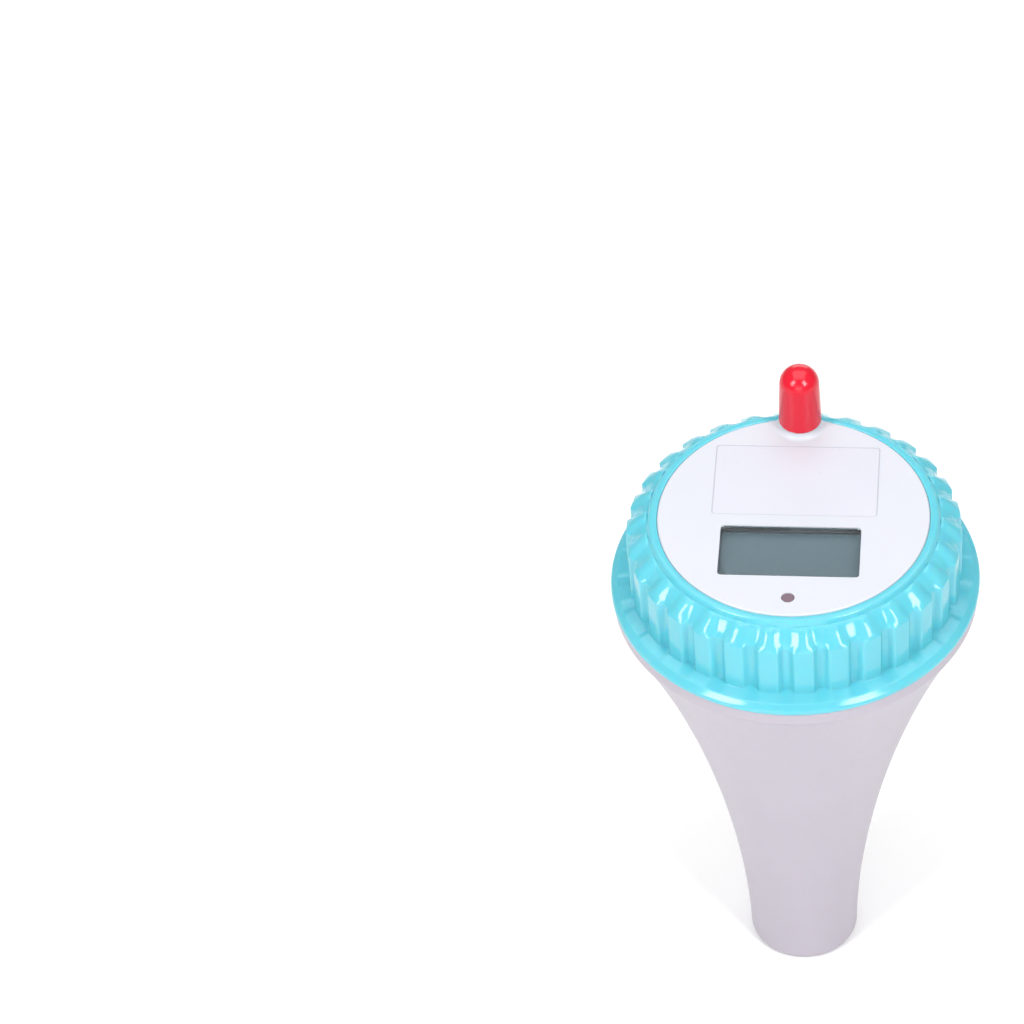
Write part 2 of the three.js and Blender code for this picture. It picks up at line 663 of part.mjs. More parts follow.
const springRoom = springHeight + GAP;
const cellHigh = CELL_FLOOR + CELL_BODY + CELL_NUB;
add(headGroup, 'battery_1', CELL_JACKET, cell(-CELL_X, CELL_FLOOR + springRoom, 1));
add(headGroup, 'battery_2', CELL_JACKET, cell(CELL_X, CELL_FLOOR, -1));
add(headGroup, 'battery_spring_1', STEEL, batterySpring(-CELL_X, CELL_FLOOR, false));
add(headGroup, 'battery_spring_2', STEEL, batterySpring(CELL_X, cellHigh + GAP, true));
add(headGroup, 'contact_positive', STEEL, cellContact(-1));
add(headGroup, 'contact_negative', STEEL, cellContact(1));
add(headGroup, 'contact_bridge', STEEL, bridgeContact());

add(headGroup, 'main_board', GREEN_BOARD, mainBoard());
add(headGroup, 'lcd_frame', BLACK_PLASTIC, lcdFrame());
add(headGroup, 'lcd_panel', DISPLAY_GLASS, lcdPanel());
add(headGroup, 'zebra_strip_1', RUBBER, zebraStrip(-1));
add(headGroup, 'zebra_strip_2', RUBBER, zebraStrip(1));
add(headGroup, 'radio_module', STEEL, radioModule());
add(headGroup, 'micro_chip', BLACK_PLASTIC, microChip());
add(headGroup, 'crystal_can', STEEL, crystalCan());
add(headGroup, 'led_emitter', CLEAR_PLASTIC, ledEmitter());
add(headGroup, 'unit_switch', BLACK_PLASTIC, pushSwitch(-1));
add(headGroup, 'reset_switch', BLACK_PLASTIC, pushSwitch(1));
add(headGroup, 'unit_button', GREY_PLASTIC, pushButton(-1));
add(headGroup, 'reset_button', GREY_PLASTIC, pushButton(1));
add(headGroup, 'channel_switch', BLACK_PLASTIC, channelSwitch());
add(headGroup, 'channel_slider', GREY_PLASTIC, channelSlider());
add(headGroup, 'lead_socket', WHITE_PLASTIC, leadSocket());
add(headGroup, 'lead_plug', WHITE_PLASTIC, leadPlug());

export default group;
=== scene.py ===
# Floating pool thermometer: a funnel-shaped float, a ribbed screw ring, and a sealed head with a
# display, a blank label and a capped antenna.
import math

import bmesh
import bpy
from mathutils import Matrix, Quaternion, Vector


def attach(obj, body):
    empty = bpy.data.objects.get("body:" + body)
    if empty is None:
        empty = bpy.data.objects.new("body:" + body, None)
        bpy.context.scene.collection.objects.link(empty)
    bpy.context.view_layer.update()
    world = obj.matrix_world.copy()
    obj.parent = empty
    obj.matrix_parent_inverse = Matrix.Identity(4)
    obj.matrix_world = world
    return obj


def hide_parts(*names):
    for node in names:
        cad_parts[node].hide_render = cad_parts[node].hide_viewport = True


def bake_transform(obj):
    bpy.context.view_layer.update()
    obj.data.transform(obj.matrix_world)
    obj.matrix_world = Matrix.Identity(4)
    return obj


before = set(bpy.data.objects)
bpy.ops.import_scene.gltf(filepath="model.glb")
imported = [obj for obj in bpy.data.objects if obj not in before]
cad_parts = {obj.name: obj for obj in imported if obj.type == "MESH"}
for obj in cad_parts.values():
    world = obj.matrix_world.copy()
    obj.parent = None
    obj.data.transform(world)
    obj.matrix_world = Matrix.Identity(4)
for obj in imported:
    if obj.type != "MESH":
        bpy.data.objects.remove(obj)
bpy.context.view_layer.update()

MM = 0.001
TAU = 2 * math.pi

# ---------------------------------------------------------------- sizes, in millimetres
# Origin: centre of the float's base rim, +Z up. The antenna is on the +Y side.
COVER_TOP = 162.5
COVER_RADIUS = 34.7
COVER_UNDERSIDE = 160.3
FLANGE_RADIUS, FLANGE_TOP, FLANGE_BOTTOM = 36.9, 160.0, 157.2
SKIRT_OUTER, SKIRT_INNER, SKIRT_BOTTOM = 33.6, 31.6, 146.3

RIM_RADIUS, RIM_BOTTOM, RIM_TOP = 47.05, 135.4, 138.9
NECK_INNER, NECK_TOP = 34.2, 155.0
PROBE_HOLE, RECESS_RADIUS, RECESS_DEPTH = 3.0, 8.0, 3.8
FLOAT_WALL = 2.2
FLARE = [(14.65, 2.0), (16.6, 70.9), (43.5, 130.0), (RIM_RADIUS, RIM_BOTTOM)]

RING_RADIUS, RING_INNER, RING_BORE, RING_BOTTOM = 47.5, 39.0, 34.75, 139.2
LIP_BOTTOM = 160.3                  # underside of the ring's lip, over the cover's flange
RIB_COUNT = 30
RIB_STEPS = 24                      # facets in each rib pitch

THREAD_LEAD = 5.0                   # rise for one turn of the ring
THREAD_START = 143.1
ANTENNA_X, ANTENNA_Y = 0.25, 33.0
BOSS_TOP = 164.05                   # top of the boss that the cap sits on
STUB_RADIUS, STUB_DOME_CENTRE = 4.0, 176.9
CAP_TOP = 182.1
WINDOW = {"x": -0.35, "y": -12.57, "width": 35.7, "depth": 17.35, "corner": 1.0}
WINDOW_LEDGE = 2.0                  # hidden flange of the lens, under the cover
LENS_BOTTOM, LEDGE_TOP, POCKET_ROOF = 159.9, 161.4, 161.6
LABEL = {"x": 0.2, "y": 12.35, "width": 42.2, "depth": 24.8, "corner": 0.8}
LED_Y, LED_HOLE_RADIUS = -28.6, 1.7
SCREW_X, SCREW_Y = 24.2, 14.0


# ---------------------------------------------------------------- camera
def add_camera():
    """Long lens from the front and above, aimed past the object so that it stands on the right."""
    AZIMUTH, ELEVATION, DISTANCE = 3.87, 45.95, 1.1468
    AIM = Vector((0, 0, COVER_TOP * MM))
    ROLL, TURN_LEFT, TILT_UP = -1.60, 3.576, 0.041
    FOCAL_LENGTH, SENSOR = 158.2, 36.0
    a, e = math.radians(AZIMUTH), math.radians(ELEVATION)
    back = Vector((math.sin(a) * math.cos(e), -math.cos(a) * math.cos(e), math.sin(e)))
    data = bpy.data.cameras.new("camera")
    data.lens = FOCAL_LENGTH
    data.sensor_width = SENSOR
    camera = bpy.data.objects.new("camera", data)
    bpy.context.collection.objects.link(camera)
    camera.location = AIM + back * DISTANCE
    camera.rotation_mode = "QUATERNION"
    camera.rotation_quaternion = (
        (-back).to_track_quat("-Z", "Y")
        @ Quaternion((0, 0, 1), math.radians(ROLL))
        @ Quaternion((0, 1, 0), math.radians(TURN_LEFT))
        @ Quaternion((1, 0, 0), math.radians(TILT_UP))
    )
    bpy.context.scene.camera = camera


# ---------------------------------------------------------------- mesh helpers
def make_object(name, bm):
    bmesh.ops.recalc_face_normals(bm, faces=bm.faces)
    mesh = bpy.data.meshes.new(name)
    bm.to_mesh(mesh)
    bm.free()
    piece = bpy.data.objects.new(name, mesh)
    bpy.context.collection.objects.link(piece)
    return piece


def rounded(corners, steps=5, closed=True):
    """Outline points from (radius, height, fillet) corners, each fillet an arc."""
    points = []
    count = len(corners)
    for i, (r, z, fillet) in enumerate(corners):
        here = Vector((r, z))
        at_end = not closed and i in (0, count - 1)
        if fillet == 0 or at_end:
            points.append((r, z))
            continue
        before = Vector(corners[i - 1][:2]) - here
        after = Vector(corners[(i + 1) % count][:2]) - here
        before.normalize()
        after.normalize()
        half = before.angle(after) / 2
        centre = here + (before + after).normalized() * (fillet / math.sin(half))
        start = here + before * (fillet / math.tan(half)) - centre
        end = here + after * (fillet / math.tan(half)) - centre
        swing = start.angle_signed(end)
        for k in range(steps + 1):
            turn = Matrix.Rotation(-swing * k / steps, 2)
            p = centre + turn @ start
            points.append((p.x, p.y))
    return points


def is_tip(vert, segments):
    """Whether a point is the middle of a flat disc's fan of triangles."""
    FLAT = 0.01
    tilt = vert.normal.angle(Vector((0, 0, 1)))
    return len(vert.link_edges) == segments and tilt % math.pi < FLAT


def turned(name, outline, segments=192, x=0.0, y=0.0, closed=True, reshape=None):
    """Solid of revolution; reshape(radius, height, angle, index) may move each point."""
    bm = bmesh.new()
    rings = []
    for k in range(segments):
        angle = TAU * k / segments
        ring = []
        for i, (r, z) in enumerate(outline):
            if reshape:
                r, z = reshape(r, z, angle, i)
            place = (x + r * math.cos(angle), y + r * math.sin(angle), z)
            ring.append(bm.verts.new(Vector(place) * MM))
        rings.append(ring)
    spans = len(outline) if closed else len(outline) - 1
    for k in range(segments):
        here, there = rings[k], rings[(k + 1) % segments]
        for i in range(spans):
            j = (i + 1) % len(outline)
            bm.faces.new((here[i], there[i], there[j], here[j]))
    bmesh.ops.remove_doubles(bm, verts=bm.verts, dist=1e-7)
    bmesh.ops.dissolve_degenerate(bm, edges=bm.edges, dist=1e-7)
    bmesh.ops.dissolve_verts(bm, verts=[v for v in bm.verts if is_tip(v, segments)])
    return make_object(name, bm)


def rod(name, radius, low, high, x=0.0, y=0.0, segments=48):
    outline = [(0, low), (radius, low), (radius, high), (0, high)]
    return turned(name, outline, segments, x, y, closed=False)


def plate_outline(width, depth, corner):
    """Rectangle round the origin with rounded corners."""
    STEPS = 6
    points = []
    half_x, half_y = width / 2 - corner, depth / 2 - corner
    for quarter, (sx, sy) in enumerate([(1, 1), (-1, 1), (-1, -1), (1, -1)]):
        for k in range(STEPS + 1):
            angle = math.radians(90 * (quarter + k / STEPS))
            u = sx * half_x + corner * math.cos(angle)
            v = sy * half_y + corner * math.sin(angle)
            points.append((u, v))
    return points


def plate(name, box, low, high, margin=0.0):
    """Upright prism on a rounded rectangle."""
    bm = bmesh.new()
    outline = plate_outline(box["width"] + 2 * margin, box["depth"] + 2 * margin, box["corner"])
    x, y = box["x"], box["y"]
    layers = []
    for z in (low, high):
        layers.append([bm.verts.new(Vector((x + u, y + v, z)) * MM) for u, v in outline])
    bm.faces.new(layers[0][::-1])
    bm.faces.new(layers[1])
    count = len(outline)
    for i in range(count):
        j = (i + 1) % count
        bm.faces.new((layers[0][i], layers[0][j], layers[1][j], layers[1][i]))
    return make_object(name, bm)


def settle(piece):
    """Makes a piece's modifiers part of its mesh."""
    graph = bpy.context.evaluated_depsgraph_get()
    piece.data = bpy.data.meshes.new_from_object(piece.evaluated_get(graph))
    piece.modifiers.clear()


def combine(piece, tool, operation):
    """Joins, cuts or trims a piece with a tool, which is used up."""
    cutter = piece.modifiers.new("combine", "BOOLEAN")
    cutter.operation = operation
    cutter.solver = "EXACT"
    cutter.object = tool
    settle(piece)
    bpy.data.objects.remove(tool)


def soften(piece, width):
    """Rounds every sharp edge by width millimetres."""
    SHARP = 40
    bevel = piece.modifiers.new("soft_edges", "BEVEL")
    bevel.width = width * MM
    bevel.segments = 3
    bevel.limit_method = "ANGLE"
    bevel.angle_limit = math.radians(SHARP)
    bevel.use_clamp_overlap = True
    settle(piece)


def thread_height(angle, z, start, turns, height):
    """Height of a right-hand thread ridge at a point of a cylinder."""
    FLANK, CREST, FADE = 1.2, 0.5, 0.04
    turn = angle / TAU
    nearest = round((z - start) / THREAD_LEAD - turn)
    along = turn + nearest
    offset = abs(z - start - THREAD_LEAD * along)
    ridge = min(max((FLANK - offset) / (FLANK - CREST), 0), 1)
    run_out = min(max(min(along, turns - along) / FADE, 0), 1)
    return height * ridge * run_out


# ---------------------------------------------------------------- materials
def shader(name, color, roughness, **sockets):
    material = bpy.data.materials.new(name)
    material.use_nodes = True
    bsdf = material.node_tree.nodes["Principled BSDF"]
    bsdf.inputs["Base Color"].default_value = (*color, 1)
    bsdf.inputs["Roughness"].default_value = roughness
    for socket, value in sockets.items():
        bsdf.inputs[socket.replace("_", " ")].default_value = value
    return material, material.node_tree, bsdf


def noise(tree, scale, detail=3.0):
    place = tree.nodes.new("ShaderNodeTexCoord")
    texture = tree.nodes.new("ShaderNodeTexNoise")
    texture.inputs["Scale"].default_value = scale
    texture.inputs["Detail"].default_value = detail
    tree.links.new(place.outputs["Object"], texture.inputs["Vector"])
    return texture.outputs["Fac"]


def spread(tree, value, low, high):
    """Maps a 0 to 1 value to a range."""
    node = tree.nodes.new("ShaderNodeMapRange")
    node.inputs["From Min"].default_value = 0.25
    node.inputs["From Max"].default_value = 0.75
    node.inputs["To Min"].default_value = low
    node.inputs["To Max"].default_value = high
    tree.links.new(value, node.inputs["Value"])
    return node.outputs["Result"]


def tint(tree, value, dark, light):
    node = tree.nodes.new("ShaderNodeMix")
    node.data_type = "RGBA"
    node.inputs["A"].default_value = (*dark, 1)
    node.inputs["B"].default_value = (*light, 1)
    tree.links.new(value, node.inputs["Factor"])
    return node.outputs["Result"]


def relief(tree, bsdf, value, depth):
    node = tree.nodes.new("ShaderNodeBump")
    node.inputs["Distance"].default_value = depth * MM
    tree.links.new(value, node.inputs["Height"])
    tree.links.new(node.outputs["Normal"], bsdf.inputs["Normal"])


def plastic(name, dark, light, roughness, depth=0.01, **sockets):
    """Moulded plastic: faint cloudiness in the colour, fine grain in the surface."""
    CLOUD, GRAIN = 40, 900
    material, tree, bsdf = shader(name, light, roughness, **sockets)
    shade = tint(tree, spread(tree, noise(tree, CLOUD), 0, 1), dark, light)
    tree.links.new(shade, bsdf.inputs["Base Color"])
    fine = noise(tree, GRAIN, 2)
    tree.links.new(spread(tree, fine, roughness * 0.9, roughness * 1.1), bsdf.inputs["Roughness"])
    relief(tree, bsdf, fine, depth)
    return material


def metal(name, dark, light, roughness, stretch=(1, 1, 1), scale=300):
    """Metal with fine marks, drawn out along one axis where it was brushed or turned."""
    material, tree, bsdf = shader(name, light, roughness, Metallic=1.0)
    place = tree.nodes.new("ShaderNodeTexCoord")
    mapping = tree.nodes.new("ShaderNodeMapping")
    mapping.inputs["Scale"].default_value = stretch
    marks = tree.nodes.new("ShaderNodeTexNoise")
    marks.inputs["Scale"].default_value = scale
    tree.links.new(place.outputs["Object"], mapping.inputs["Vector"])
    tree.links.new(mapping.outputs["Vector"], marks.inputs["Vector"])
    mark = marks.outputs["Fac"]
    tree.links.new(tint(tree, spread(tree, mark, 0, 1), dark, light), bsdf.inputs["Base Color"])
    tree.links.new(spread(tree, mark, roughness * 0.8, roughness * 1.3), bsdf.inputs["Roughness"])
    relief(tree, bsdf, mark, 0.01)
    return material


def clear(name, color, roughness):
    material, tree, bsdf = shader(name, color, roughness, Transmission_Weight=1.0, IOR=1.49)
    fine = noise(tree, 700, 2)
    tree.links.new(spread(tree, fine, roughness, roughness * 1.8), bsdf.inputs["Roughness"])
    return material


WHITE = plastic("white_abs", (0.58, 0.595, 0.65), (0.60, 0.615, 0.67), 0.34, depth=0.006,
                Subsurface_Weight=0.08, Subsurface_Scale=0.004)
# The float's white: partly its own pinker tint, partly painted shade, darker than the face's white for
# the dimmer light that reaches the float from below.
HULL_TINT_AND_SHADE = plastic("hull_abs_tint_and_shade", (0.428, 0.396, 0.455), (0.446, 0.414, 0.474), 0.42, depth=0.006,
                     Subsurface_Weight=0.08, Subsurface_Scale=0.004)
TEAL = plastic("teal_abs", (0.115, 0.515, 0.615), (0.13, 0.545, 0.645), 0.12, depth=0.003,
               Subsurface_Weight=0.5, Subsurface_Scale=0.004)
RED = plastic("red_cap", (0.65, 0.006, 0.024), (0.69, 0.008, 0.03), 0.20, depth=0.005,
              Subsurface_Weight=0.1, Subsurface_Scale=0.002)
GREY = plastic("grey_abs", (0.48, 0.49, 0.52), (0.54, 0.55, 0.58), 0.5, depth=0.012)
BLACK = plastic("black_nylon", (0.02, 0.02, 0.022), (0.035, 0.035, 0.038), 0.45, depth=0.01)
FRAME_GREY = plastic("display_frame", (0.20, 0.22, 0.235), (0.23, 0.25, 0.265), 0.5, depth=0.01)
# Painted shade: a darker grey for the frame that stands in for the shadow line in the groove round the
# label.
LABEL_EDGE_SHADE = plastic("painted_label_edge_shade", (0.47, 0.48, 0.55), (0.50, 0.51, 0.58), 0.4, depth=0.004)
NYLON = plastic("white_nylon", (0.74, 0.73, 0.68), (0.80, 0.79, 0.75), 0.42, depth=0.01)
LABEL_FILM = plastic("label_film", (0.575, 0.585, 0.65), (0.595, 0.605, 0.67), 0.30, depth=0.004)
RUBBER = plastic("seal_rubber", (0.02, 0.02, 0.022), (0.035, 0.035, 0.036), 0.7, depth=0.02)
SHEATH = plastic("lead_sheath", (0.40, 0.41, 0.43), (0.48, 0.49, 0.51), 0.42, depth=0.01)
JACKET = plastic("cell_jacket", (0.05, 0.08, 0.15), (0.07, 0.11, 0.2), 0.28, depth=0.004)
BOARD = plastic("solder_mask", (0.01, 0.13, 0.06), (0.02, 0.2, 0.09), 0.4, depth=0.01)
STEEL = metal("stainless", (0.52, 0.53, 0.55), (0.68, 0.69, 0.71), 0.26, (1, 1, 14))
NICKEL = metal("nickel_plate", (0.60, 0.60, 0.61), (0.74, 0.74, 0.75), 0.22)
COPPER = metal("copper_wire", (0.60, 0.27, 0.14), (0.78, 0.40, 0.22), 0.3)
IRON = metal("cast_iron", (0.11, 0.11, 0.12), (0.2, 0.2, 0.21), 0.6, scale=120)
CLEAR = clear("clear_acrylic", (0.97, 0.99, 0.99), 0.02)
SMOKED = plastic("smoked_acrylic", (0.185, 0.125, 0.155), (0.205, 0.14, 0.175), 0.12, depth=0.002)


def display_material():
    DARK, LIGHT, GRAIN = (0.19, 0.275, 0.325), (0.21, 0.295, 0.345), 1500
    material, tree, bsdf = shader("lcd_glass", LIGHT, 0.25)
    shade = tint(tree, spread(tree, noise(tree, GRAIN, 2), 0, 1), DARK, LIGHT)
    tree.links.new(shade, bsdf.inputs["Base Color"])
    return material


DISPLAY = display_material()


def smooth(piece):
    """Smooth shading that keeps flat faces flat and sharp edges sharp."""
    SHARP = 38
    piece.data.shade_smooth()
    piece.data.set_sharp_from_angle(angle=math.radians(SHARP))
    normals = piece.modifiers.new("flat_faces", "WEIGHTED_NORMAL")
    normals.keep_sharp = True


def finish_piece(piece, material, slot, body, *nodes):
    """Gives a piece its material, the body it rides on and the CAD nodes it replaces; slot is not used.
    """
    smooth(piece)
    piece.data.materials.clear()
    piece.data.materials.append(material)
    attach(piece, body)
    if nodes:
        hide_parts(*nodes)


def paint(material, *nodes):
    """Gives CAD nodes a material and leaves their shape alone."""
    for name in nodes:
        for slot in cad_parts[name].material_slots:
            slot.link = "OBJECT"
            slot.material = material


# ---------------------------------------------------------------- float
def bezier(points, t):
    """Point on a cubic curve, with t running from 0 to 1."""
    a, b, c, d = (Vector(p) for p in points)
    return (1 - t) ** 3 * a + 3 * (1 - t) ** 2 * t * b + 3 * (1 - t) * t * t * c + t ** 3 * d


def float_hull():
    """Funnel with a rolled rim, a threaded neck and an open inside."""
    STEPS, LIP_START = 60, 0.975
    CEILING, FLOOR = RIM_TOP - 2.4, 6.0
    THREAD_LOW, THREAD_HIGH, ROWS = 141.6, 154.5, 60
    THREAD_TURNS, THREAD_DEPTH = 2, 1.4
    flare = [bezier(FLARE, LIP_START * k / STEPS) for k in range(STEPS + 1)]
    inner = []
    for k in range(1, STEPS):
        along = (flare[k + 1] - flare[k - 1]).normalized()
        p = flare[k] + Vector((-along.y, along.x)) * FLOAT_WALL
        if FLOOR + 1.2 < p.y < CEILING - 1:
            inner.append(p)
    inner.reverse()
    foot = rounded([
        (RECESS_RADIUS, RECESS_DEPTH, 0.3), (RECESS_RADIUS, 0, 0.35), (14.6, 0, 1.9), (14.65, 2.2, 0),
    ], closed=False, steps=6)
    rim = rounded([
        (*flare[-1], 0), (46.75, RIM_BOTTOM - 0.3, 0.3), (RIM_RADIUS, RIM_BOTTOM + 0.1, 0.3),
        (RIM_RADIUS, RIM_TOP, 0.35), (FLANGE_RADIUS, RIM_TOP, 0.4), (FLANGE_RADIUS, THREAD_LOW, 0),
    ], closed=False)
    thread_span = THREAD_HIGH - THREAD_LOW
    neck = [(FLANGE_RADIUS, THREAD_LOW + thread_span * k / ROWS) for k in range(1, ROWS)]
    mouth = rounded([
        (FLANGE_RADIUS, THREAD_HIGH, 0), (FLANGE_RADIUS, NECK_TOP, 0.3), (NECK_INNER, NECK_TOP, 0.3),
        (NECK_INNER, CEILING, 0.4), (inner[0].x + 1.0, CEILING, 0.5), (inner[0].x, inner[0].y, 0),
    ], closed=False)
    floor = rounded([
        (inner[-1].x, inner[-1].y, 0), (inner[-1].x, FLOOR, 0.8), (PROBE_HOLE, FLOOR, 0.2),
        (PROBE_HOLE, RECESS_DEPTH, 0.2), (RECESS_RADIUS, RECESS_DEPTH, 0),
    ], closed=False)
    outline = (
        foot[:-1] + [tuple(p) for p in flare[:-1]] + rim + neck + mouth
        + [tuple(p) for p in inner[1:-1]] + floor[:-1]
    )

    def with_thread(r, z, angle, i):
        if abs(r - FLANGE_RADIUS) < 1e-6 and THREAD_LOW < z < THREAD_HIGH:
            r += thread_height(angle, z, THREAD_START, THREAD_TURNS, THREAD_DEPTH)
        return r, z

    hull = turned("float_shell", outline, 240, reshape=with_thread)
    finish_piece(hull, HULL_TINT_AND_SHADE, "white_shell", "float_body", "float_hull")


def probe():
    """Steel probe head recessed in the base, and its sealing washer."""
    HEAD, STEM, BORE = 5.8, 2.6, 1.7
    HEAD_LOW, HEAD_HIGH, STEM_TOP = 0.5, 2.0, 9.6
    tip = turned("probe_dome", rounded([
        (0, HEAD_LOW, 0), (HEAD, HEAD_LOW, 0.8), (HEAD, HEAD_HIGH, 0.15), (STEM, HEAD_HIGH, 0.1),
        (STEM, STEM_TOP, 0.2), (BORE, STEM_TOP, 0.2), (BORE, 1.3, 0.2), (0, 1.3, 0),
    ], closed=False), 96, closed=False)
    finish_piece(tip, STEEL, "steel", "float_body", "probe_tip")
    seal = turned("probe_washer", rounded([
        (PROBE_HOLE, 2.3, 0.2), (5.6, 2.3, 0.35), (5.6, 3.5, 0.35), (PROBE_HOLE, 3.5, 0.2),
    ]), 96)
    finish_piece(seal, RUBBER, "seal", "float_body", "probe_seal")


def catmull_rom(before, here, there, after, t):
    """Point on the smooth curve from here to there, with t running from 0 to 1."""
    bend = 2 * before - 5 * here + 4 * there - after
    twist = 3 * here - before - 3 * there + after
    return 0.5 * (2 * here + (there - before) * t + bend * t ** 2 + twist * t ** 3)


def probe_lead():
    """Lead from the probe to the plug on the head."""
    ROUTE = [
        (0, 0, 6.4), (0, 0, 25), (0, 0, 42), (0, 4, 56), (0, 11, 72), (-1, 14.5, 88), (-4, 15, 108),
        (-8, 17, 126), (-9, 20, 140.7),
    ]
    RADIUS, SIDES, STEPS = 1.1, 16, 12
    path = []
    for i in range(len(ROUTE) - 1):
        before, here, there, after = (
            Vector(ROUTE[min(max(i + k, 0), len(ROUTE) - 1)]) for k in (-1, 0, 1, 2)
        )
        for step in range(STEPS):
            t = step / STEPS
            path.append(catmull_rom(before, here, there, after, t))
    path.append(Vector(ROUTE[-1]))
    bm = bmesh.new()
    rings = []
    for k, p in enumerate(path):
        along = (path[min(k + 1, len(path) - 1)] - path[max(k - 1, 0)]).normalized()
        across = along.cross(Vector((0, 1, 0))).normalized()
        up = across.cross(along)
        ring = []
        for side in range(SIDES):
            angle = TAU * side / SIDES
            outward = across * math.cos(angle) + up * math.sin(angle)
            ring.append(bm.verts.new((p + RADIUS * outward) * MM))
        rings.append(ring)
    for here, there in zip(rings, rings[1:]):
        for side in range(SIDES):
            nearby = (side + 1) % SIDES
            bm.faces.new((here[side], here[nearby], there[nearby], there[side]))
    bm.faces.new(rings[0][::-1])
    bm.faces.new(rings[-1])
    lead = make_object("lead_sheath", bm)
    smooth(lead)
    lead.data.materials.append(SHEATH)
    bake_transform(lead)
    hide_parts("probe_lead")


# ---------------------------------------------------------------- lock ring
def ease(value, low, high):
    """0 below low, 1 above high, smooth between."""
    t = min(max((value - low) / (high - low), 0), 1)
    return t * t * (3 - 2 * t)


def rib_share(angle, reach):
    """Height of a rib, 0 in a valley to 1 on its crest; reach runs from 0 at the rib's
    round inner end, over the shoulder, to 1 on the wall."""
    PITCH, FLAT, FOOT, END = 8.6, 0.4, 3.4, 0.34
    WALL_FLAT, WALL_FOOT = 2.1, 3.6
    pitches = angle * RIB_COUNT / TAU
    offset = abs(pitches - round(pitches)) * PITCH
    end = min(reach / END, 1)
    narrowing = math.sqrt(1 - (1 - end) ** 2)
    crown = 1 - ease(offset / max(narrowing, 1e-3), FLAT, FOOT)
    wall = 1 - ease(offset, WALL_FLAT, WALL_FOOT)
    on_wall = ease(reach, 0.55, 1)
    return narrowing * (crown + (wall - crown) * on_wall)


def ring_outline(groove, radius):
    """Ring section from the lip's underside over the top to the bore's foot, and each point's
    reach. The shoulder is a quarter of a superellipse, from the groove down to the wall."""
    GROOVE_RADIUS, WALL_TOP, STEPS, FULLNESS = 37.4, 156.9, 16, 1.6
    top = rounded([
        (RING_BORE, LIP_BOTTOM, 0.25), (RING_BORE, 162.35, 0.4), (36.7, 162.3, 0.9),
        (GROOVE_RADIUS, groove, 0),
    ], closed=False)
    shoulder = []
    for k in range(1, STEPS + 1):
        turn = math.radians(90 * k / STEPS)
        r = GROOVE_RADIUS + (radius - GROOVE_RADIUS) * math.sin(turn) ** FULLNESS
        shoulder.append((r, WALL_TOP + (groove - WALL_TOP) * abs(math.cos(turn)) ** FULLNESS))
    skirt = rounded([
        (radius, WALL_TOP, 0), (radius, 142.35, 0.3), (45.9, 141.6, 1.2), (RING_RADIUS, 140.4, 1.1),
        (RING_RADIUS, RING_BOTTOM, 0.3), (RING_INNER, RING_BOTTOM, 0.3), (RING_INNER, 139.8, 0),
    ], closed=False)[1:]
    reach = [0] * len(top) + [(k + 1) / STEPS for k in range(STEPS)] + [1] * len(skirt)
    return top + shoulder + skirt, reach


def lock_ring():
    """Screw ring: ribs on its shoulder and wall, a flange below them, a thread inside."""
    BORE_NARROWS = 157.4
    THREAD_LOW, THREAD_HIGH, ROWS = 139.8, 148.8, 44
    THREAD_TURNS, THREAD_DEPTH, THREAD_DROP = 1.2, 1.55, 1.9
    rib, reach = ring_outline(groove=161.45, radius=42.85)
    valley, _ = ring_outline(groove=160.95, radius=41.45)
    thread_span = THREAD_HIGH - THREAD_LOW
    bore = [(RING_INNER, THREAD_LOW + thread_span * k / ROWS) for k in range(1, ROWS + 1)]
    bore += [(RING_INNER, BORE_NARROWS), (FLANGE_RADIUS + 0.4, LIP_BOTTOM)]
    outline = rib + bore

    def with_ribs(r, z, angle, i):
        if i < len(rib):
            share = rib_share(angle, reach[i])
            low_r, low_z = valley[i]
            return low_r + (r - low_r) * share, low_z + (z - low_z) * share
        if THREAD_LOW < z < THREAD_HIGH:
            r -= thread_height(angle, z, THREAD_START - THREAD_DROP, THREAD_TURNS, THREAD_DEPTH)
        return r, z

    ring = turned("ribbed_ring", outline, RIB_COUNT * RIB_STEPS, reshape=with_ribs)
    finish_piece(ring, TEAL, "teal_ring", "lock_ring", "lock_ring")


# ---------------------------------------------------------------- head
def cover_shell():
    """Display face with its flange and skirt."""
    return turned("display_cover", rounded([
        (0, COVER_TOP, 0), (COVER_RADIUS, COVER_TOP, 0.5), (COVER_RADIUS, FLANGE_TOP, 0.2),
        (FLANGE_RADIUS, FLANGE_TOP, 0.3), (FLANGE_RADIUS, FLANGE_BOTTOM, 0.3),
        (SKIRT_OUTER, FLANGE_BOTTOM, 0.3), (SKIRT_OUTER, SKIRT_BOTTOM, 0.3),
        (SKIRT_INNER, SKIRT_BOTTOM, 0.3), (SKIRT_INNER, COVER_UNDERSIDE, 0.5), (0, COVER_UNDERSIDE, 0),
    ], closed=False), 240, closed=False)


